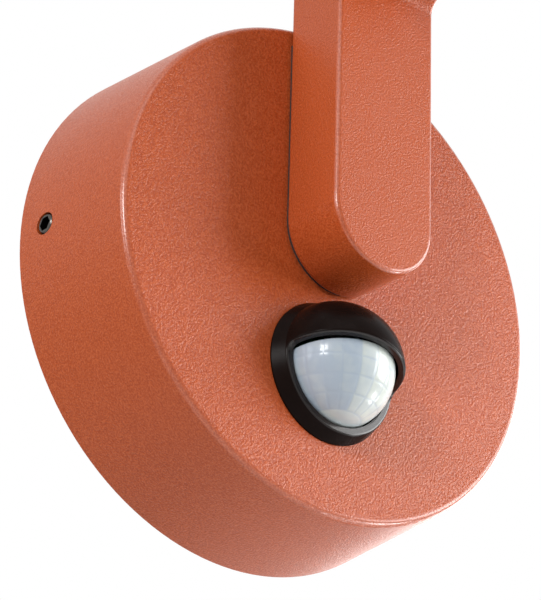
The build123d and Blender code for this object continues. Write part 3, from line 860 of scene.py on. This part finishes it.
# --------------------------------------------------------------------------------- visible screws
@dataclass
class SideScrews:
    """The two black set screws in the base's sides."""

    height: float = 8.1 * MM
    stand: float = 0.45 * MM

    def build(self, wardrobe: Wardrobe) -> Piece:
        """Make both in place of their solids, as one piece."""
        low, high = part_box("grub_screws")
        model = Fastener("set_screw", 2.46, 7.9, 2.5, 0.0, Drive.HEXAGON, 1.75, 2.8, 0.8, 0.22).model()
        pair = []
        for side, reach in ((1, high.x + self.stand), (-1, low.x - self.stand)):
            turn = Matrix.Rotation(side * pi / 2, 3, "Y")
            spot = Vector((reach, -self.height, 0))
            pair.append(place_copy(model, f"set_screw_{len(pair)}", spot, turn))
        bpy.data.objects.remove(model)
        screws = join(pair, "side_set_screws")
        smooth(screws, 30)
        wardrobe.dress(screws, "black_screw")
        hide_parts("grub_screws")
        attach(screws, Body.BASE.value)
        return screws


@dataclass(frozen=True)
class ScrewSet:
    """A set of like screws that stand in for one node."""

    node: str
    slot: str
    screw: Fastener
    seats: tuple[tuple[float, float, float], ...]
    outward: bool = False
    washer_r: float = 0.0
    washer_t: float = 0.0

    def build(self, wardrobe: Wardrobe) -> Piece:
        """Make the whole set in place of its node, as one piece."""
        model = self.screw.model()
        if self.washer_r > 0:
            model = join([model, self._washer()], model.name)
        turn = Matrix.Rotation(pi / 2 if self.outward else -pi / 2, 3, "X")
        copies = [place_copy(model, f"{self.node}_{index}", Vector(seat) * MM, turn)
                  for index, seat in enumerate(self.seats)]
        bpy.data.objects.remove(model)
        piece = join(copies, self.node + "_threaded")
        smooth(piece, 30)
        wardrobe.dress(piece, self.slot)
        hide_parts(self.node)
        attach(piece, Body.BASE.value)
        return piece

    def _washer(self) -> Piece:
        """Make the plain washer under the head."""
        deselect()
        bpy.ops.mesh.primitive_circle_add(vertices=40, radius=self.washer_r, fill_type="NGON")
        washer = named(self.node + "_washer")
        pick_faces(washer, lambda face: True)
        bpy.ops.mesh.inset(thickness=self.washer_r - self.screw.shank_r - 0.05 * MM)
        bpy.ops.mesh.delete(type="FACE")
        bpy.ops.mesh.select_all(action="SELECT")
        extrude(0, 0, -self.washer_t)
        object_mode()
        recalculate(washer)
        return washer


SCREW_SETS = (
    ScrewSet("earth_screw", "brass_screw",
             Fastener("earth", 2.0, 4.5, 3.6, 2.4, Drive.CROSS, 1.9, 1.5, 0.7, 0.2, rounding=0.38),
             ((-24.0, -4.8, -17.0),), outward=True, washer_r=4.0 * MM, washer_t=0.8 * MM),
    ScrewSet("arm_screws", "zinc_screw",
             Fastener("arm", 2.5, 12.0, 4.6, 3.2, Drive.HEXAGON, 2.1, 1.9, 0.8, 0.22),
             ((0, -30.3, 12.0), (0, -30.3, 46.0))),
    ScrewSet("board_screws", "zinc_screw",
             Fastener("board", 1.45, 7.4, 2.7, 1.9, Drive.CROSS, 1.5, 1.2, 0.9, 0.25, rounding=0.36),
             ((-31.0, -21.4, -24.0), (-31.0, -21.4, 24.0), (31.0, -21.4, -24.0), (31.0, -21.4, 24.0))),
    ScrewSet("carrier_screws", "zinc_screw",
             Fastener("carrier", 1.3, 5.9, 2.4, 1.5, Drive.CROSS, 1.3, 0.9, 0.8, 0.22, rounding=0.36),
             ((-22.0, -26.4, -25.0), (22.0, -26.4, -25.0))),
)


# ----------------------------------------------------------------------------------- board details
DIALS_ACROSS = (12.0, 26.0)
DIALS_UP = -14.0
DIALS_FRONT = -17.4 * MM
CONTROLLER = (-27.0, -13.5)
LEG_PITCH = 1.27
LEGS_OUT = 3.25


@dataclass
class BoardDetail:
    """Small parts on the two circuit boards: chips with plated ends, solder joints and markings."""

    rear: float = -21.4 * MM
    front: float = -23.0 * MM
    sensor_front: float = -29.8 * MM
    chips: tuple[tuple[float, float, int], ...] = (
        (-29.5, -6.0, 0), (-29.5, -9.0, 0), (-25.0, -9.0, 0), (-21.0, -9.0, 1), (-17.0, -9.0, 1),
        (-13.0, -10.5, 0), (-13.0, -14.0, 0), (-17.0, -14.0, 1), (-21.5, -15.0, 0), (-8.0, -15.5, 1),
        (-4.0, -15.5, 1), (0.0, -14.0, 0), (0.0, -10.5, 0), (19.0, -5.5, 1), (29.0, -5.0, 0),
        (26.5, -23.0, 0), (21.0, -22.5, 1), (-27.5, 26.0, 0), (12.0, 33.5, 0), (8.0, 35.5, 1),
        (-12.0, 35.0, 0), (-16.0, 34.5, 0),
    )
    sensor_chips: tuple[tuple[float, float, int], ...] = (
        (-7.0, -22.5, 1), (-7.0, -27.0, 1), (7.2, -27.5, 1), (0.0, -32.6, 0),
    )
    joints: tuple[tuple[float, float], ...] = (
        (-24, 11.5), (-24, 28.5), (4, 11.5), (4, 28.5), (18.5, 12), (18.5, 22), (18.5, 27), (-23, 1),
        (-9, 1), (1.5, 1), (6.5, 1), (14, -1.5), (14, 3.5), (23.5, 3), (28.5, 3), (-16.2, -31), (-10, -31),
        (-3.8, -31), (11.5, -31), (16.5, -31), (8.5, -10.5), (15.5, -10.5), (12, -17.5), (22.5, -10.5),
        (29.5, -10.5), (26, -17.5),
    )

    def build(self, wardrobe: Wardrobe) -> list[Piece]:
        """Make every small part."""
        return [
            self._chips(wardrobe, "chip_bodies", "header_black", (1.5, 1.3, 0.62), 0.0),
            self._chips(wardrobe, "chip_ends", "can_nickel", (0.42, 1.36, 0.66), 0.93),
            self._solder(wardrobe),
            self._controller(wardrobe),
            self._controller_legs(wardrobe),
            self._markings(wardrobe),
            self._pyro_window(wardrobe),
        ]

    @staticmethod
    def _block(name: str, size: Sequence[float], lift: float = 0.0,
               rounding: float = 0.12) -> Piece:
        """A small case standing on z = 0, its top edges rounded.

        Args:
            name: its name.
            size: width, depth and height in millimetres.
            lift: how far it stands above z = 0, in millimetres.
            rounding: the radius in millimetres.

        Returns:
            The case.
        """
        deselect()
        bpy.ops.mesh.primitive_cube_add(size=1)
        case = named(name)
        pick_faces(case, lambda face: True)
        bpy.ops.transform.resize(value=tuple(length * MM for length in size))
        bpy.ops.transform.translate(value=(0, 0, (lift + size[2] / 2) * MM))
        object_mode()
        pick_faces(case, lambda face: face.normal.z > 0.9)
        bpy.ops.mesh.bevel(offset=rounding * MM, segments=2, affect="EDGES")
        object_mode()
        return case

    @staticmethod
    def _facing(back: bool) -> Matrix:
        """The turn that points a piece drawn upwards at the wall, or away from it."""
        return Matrix.Rotation(-pi / 2 if back else pi / 2, 3, "X")

    def _finish(self, pieces: Sequence[Piece], wardrobe: Wardrobe, name: str,
                slot: str) -> Piece:
        """Join, shade, dress and mount pieces on the base."""
        piece = join(pieces, name)
        smooth(piece, 30)
        wardrobe.dress(piece, slot)
        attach(piece, Body.BASE.value)
        return piece

    def _chips(self, wardrobe: Wardrobe, name: str, slot: str, size: Sequence[float],
               apart: float) -> Piece:
        """Chip bodies, or their two plated ends."""
        model = self._block(name + "_model", size)
        if apart > 0:
            straight = Matrix.Identity(3)
            ends = [place_copy(model, f"{name}_end_{side}", Vector((side * apart * MM, 0, 0)), straight)
                    for side in (1, -1)]
            bpy.data.objects.remove(model)
            model = join(ends, name + "_model")
        pieces = []
        boards = ((self.chips, self.rear, True), (self.sensor_chips, self.sensor_front, False))
        for spots, height, back in boards:
            for x, up, quarter in spots:
                turn = self._facing(back) @ Matrix.Rotation(quarter * pi / 2, 3, "Z")
                spot = Vector((x * MM, height, up * MM))
                pieces.append(place_copy(model, f"{name}_{len(pieces)}", spot, turn))
        bpy.data.objects.remove(model)
        return self._finish(pieces, wardrobe, name, slot)

    def _solder(self, wardrobe: Wardrobe) -> Piece:
        """A solder cone with its clipped lead at each leg of the large parts."""
        model = cylinder("solder_model", 20, 0.95 * MM, 0.2 * MM, (0, 0, 0.1 * MM))
        for rise, shrink in ((0.25, 0.72), (0.30, 0.70), (0.20, 0.80)):
            pick_faces(model, lambda face: face.normal.z > 0.99)
            extrude(0, 0, rise * MM)
            bpy.ops.transform.resize(value=(shrink, shrink, 1))
            object_mode()
        turn = self._facing(False)
        pieces = [place_copy(model, f"solder_{index}", Vector((x * MM, self.front, up * MM)), turn)
                  for index, (x, up) in enumerate(self.joints)]
        bpy.data.objects.remove(model)
        return self._finish(pieces, wardrobe, "solder_joints", "can_nickel")

    def _controller(self, wardrobe: Wardrobe) -> Piece:
        """The flat controller case with its pin-one dimple."""
        case = self._block("controller_case", (6.2, 5.2, 1.5), 0.25, 0.25)
        dimple = cylinder("dimple_cutter", 24, 0.45 * MM, 0.3 * MM, (-2.2 * MM, -1.7 * MM, 1.75 * MM))
        cut_away(case, dimple)
        spot = Vector((CONTROLLER[0] * MM, self.rear, CONTROLLER[1] * MM))
        placed = place_copy(case, "controller", spot, self._facing(True))
        bpy.data.objects.remove(case)
        return self._finish([placed], wardrobe, "controller", "module_black")

    def _controller_legs(self, wardrobe: Wardrobe) -> Piece:
        """The controller's bent legs, five on each side."""
        model = self._block("leg_model", (0.4, 1.1, 0.22), 0.0, 0.05)
        pick_faces(model, lambda face: face.normal.y > 0.9)
        extrude(0, 0.25 * MM, 0.55 * MM)
        object_mode()
        pieces = []
        for side in (0, 1):
            turn = self._facing(True) @ Matrix.Rotation(side * pi, 3, "Z")
            for step in range(5):
                x = (CONTROLLER[0] + (step - 2) * LEG_PITCH) * MM
                up = (CONTROLLER[1] + (1 - 2 * side) * LEGS_OUT) * MM
                pieces.append(place_copy(model, f"leg_{side}_{step}", Vector((x, self.rear, up)), turn))
        bpy.data.objects.remove(model)
        return self._finish(pieces, wardrobe, "controller_legs", "can_nickel")

    def _markings(self, wardrobe: Wardrobe) -> Piece:
        """Numbers at the terminals and round the two dials, and a tick at each quarter turn."""
        seen_from_wall = Matrix(((-1, 0, 0), (0, 0, 1), (0, 1, 0)))
        pieces = []
        labels = ((-16.2, -24.2), (-10.0, -24.2), (-3.8, -24.2), (11.5, -25.2), (16.5, -25.2))
        spots = [(str(number), x, up, 1.9, self.rear) for number, (x, up) in enumerate(labels, start=1)]
        corners = ((4.0, -3.9), (4.0, 4.0), (-4.0, 4.0), (-4.0, -3.9))
        for centre in DIALS_ACROSS:
            for digit, (across, rise) in enumerate(corners, start=1):
                spots.append((str(digit), centre + across, DIALS_UP + rise, 1.0, DIALS_FRONT))
        for index, (text, x, up, size, height) in enumerate(spots):
            deselect()
            bpy.ops.object.text_add()
            sign = bpy.context.object
            sign.data.body = text
            sign.data.size = size * 1.35 * MM
            sign.data.align_x = "CENTER"
            sign.data.align_y = "CENTER"
            sign.data.extrude = 0.03 * MM
            sign.data.resolution_u = 4
            bpy.ops.object.convert(target="MESH")
            sign = named(f"sign_{index}_model")
            spot = Vector((x * MM, height + 0.03 * MM, up * MM))
            pieces.append(place_copy(sign, f"sign_{index}", spot, seen_from_wall))
            bpy.data.objects.remove(sign)
        tick = self._block("tick_model", (0.22, 0.7, 0.06), 0.0, 0.02)
        for centre in DIALS_ACROSS:
            for quarter in range(4):
                turn = self._facing(True) @ Matrix.Rotation(quarter * pi / 2, 3, "Z")
                out = Matrix.Rotation(quarter * pi / 2, 3, "Y") @ Vector((0, 0, 4.25 * MM))
                spot = Vector((centre * MM, DIALS_FRONT, DIALS_UP * MM)) + out
                pieces.append(place_copy(tick, f"tick_{len(pieces)}", spot, turn))
        bpy.data.objects.remove(tick)
        return self._finish(pieces, wardrobe, "board_markings", "dial_white")

    def _pyro_window(self, wardrobe: Wardrobe) -> Piece:
        """The dark filter in the detector's window."""
        pane = self._block("window_model", (3.86, 2.86, 0.14), 0.0, 0.04)
        placed = place_copy(pane, "pyro_window", Vector((0, -33.8 * MM, -25.0 * MM)), self._facing(False))
        bpy.data.objects.remove(pane)
        return self._finish([placed], wardrobe, "pyro_window", "sleeve_dark")


# ----------------------------------------------------------------------------------------- studio
@dataclass(frozen=True)
class Softbox:
    """A soft area lamp that faces the object: degrees right of its face, degrees up, size and watts."""

    name: str
    turn: float
    rise: float
    size: tuple[float, float]
    watts: float
    away: float = 1.2

    def hang(self) -> None:
        """Add the lamp to the scene."""
        data = bpy.data.lights.new(self.name, "AREA")
        data.shape = "RECTANGLE"
        data.size, data.size_y = self.size
        data.energy = self.watts
        lamp = bpy.data.objects.new(self.name, data)
        bpy.context.scene.collection.objects.link(lamp)
        turn, rise = radians(self.turn), radians(self.rise)
        out = Vector((sin(turn) * cos(rise), -cos(turn) * cos(rise), sin(rise)))
        turned = (-out).to_track_quat("-Z", "Y").to_matrix().to_4x4()
        lamp.matrix_world = Matrix.Translation(Vector((0, -0.03, 0)) + out * self.away) @ turned


SOFTBOXES = (
    Softbox("key_softbox", 58, 10, (0.70, 0.70), 16.5),
    Softbox("left_softbox", -62, 18, (0.24, 0.34), 8.0),
    Softbox("left_rim", -98, 15, (0.50, 0.50), 4.5),
    Softbox("upper_fill", -30, 45, (0.80, 0.80), 2.5),
    Softbox("low_right_softbox", 73, -28, (0.30, 0.30), 6.0),
    Softbox("low_fill", 0, -60, (0.80, 0.80), 2.0),
    Softbox("right_rim", 115, 10, (0.70, 0.70), 6.5),
    Softbox("back_sheen", 140, -25, (0.90, 0.90), 0.6),
)


@dataclass
class Studio:
    """Floor, lamps, world and camera."""

    azimuth: float = 39.62903
    elevation: float = 27.02674
    roll: float = 1.6374
    lens: float = 195.3414
    distance: float = 717.536 * MM
    look_at: Vector = field(default_factory=lambda: Vector((-5.98957 * MM, -20 * MM, -4.13405 * MM)))
    film: float = 36.0
    floor_z: float = -0.62
    surround_light: float = 0.14

    def build(self) -> None:
        """Set up the whole studio."""
        self._floor()
        self._world()
        self._lamps()
        self._camera()
        bpy.context.scene.view_settings.view_transform = "Standard"

    def _floor(self) -> None:
        """A plain pale floor under the object."""
        deselect()
        bpy.ops.mesh.primitive_plane_add(size=40, location=(0, 0, self.floor_z))
        floor = named("floor")
        settle(floor)
        sheet = ShaderSheet("floor_look")
        cloud = sheet.noise(0.4, 2.0)
        look = sheet.finish({
            "Base Color": sheet.blend(cloud, (0.80, 0.80, 0.80), (0.84, 0.84, 0.835)),
            "Roughness": cloud * 0.1 + 0.75,
            "Normal": sheet.bump(sheet.noise(0.01, 2.0), 0.0002),
            "Emission Color": sheet.blend(sheet.seen_straight(), (0.0, 0.0, 0.0), (0.62, 0.62, 0.62)),
            "Emission Strength": 1.0,
        })
        floor.data.materials.append(look)

    def _world(self) -> None:
        """A white surround, weaker as a light than it looks."""
        world = bpy.data.worlds.new("surround")
        bpy.context.scene.world = world
        sheet = ShaderSheet(world)
        strength = sheet.node("ShaderNodeMapRange", None, {
            "Value": sheet.seen_straight(), "To Min": self.surround_light, "To Max": 1.0})
        back = sheet.node("ShaderNodeBackground", None, {"Color": (1, 1, 1), "Strength": strength})
        sheet.node("ShaderNodeOutputWorld", None, {"Surface": back})

    def _lamps(self) -> None:
        """Hang every softbox."""
        for softbox in SOFTBOXES:
            softbox.hang()

    def _camera(self) -> None:
        """Place the camera at the object's usual view from below."""
        az, el, roll = radians(self.azimuth), radians(self.elevation), radians(self.roll)
        forward = Vector((sin(az) * cos(el), cos(az) * cos(el), sin(el)))
        right = Vector((cos(az), -sin(az), 0))
        up = right.cross(forward)
        right, up = cos(roll) * right + sin(roll) * up, cos(roll) * up - sin(roll) * right
        turn = Matrix((right, up, -forward)).transposed()
        data = bpy.data.cameras.new("camera")
        data.lens = self.lens
        data.sensor_width = self.film
        data.clip_start = 0.01
        camera = bpy.data.objects.new("camera", data)
        bpy.context.scene.collection.objects.link(camera)
        camera.matrix_world = Matrix.Translation(self.look_at - forward * self.distance) @ turn.to_4x4()
        bpy.context.scene.camera = camera


def main() -> None:
    """Build every piece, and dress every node."""
    logging.basicConfig(level=logging.INFO, format="%(name)s: %(message)s")
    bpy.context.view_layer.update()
    wardrobe = Wardrobe()
    wardrobe.dress_nodes()
    LOG.info("%d nodes dressed", len(frame["nodes"]))
    pieces = [maker.build(wardrobe) for maker in (LensDome(), SideScrews(), *SCREW_SETS)]
    pieces += BoardDetail().build(wardrobe)
    for piece in pieces:
        LOG.info("%s: %d faces", piece.name, len(piece.data.polygons))
    Studio().build()
    deselect()


if __name__ == "__main__":
    main()
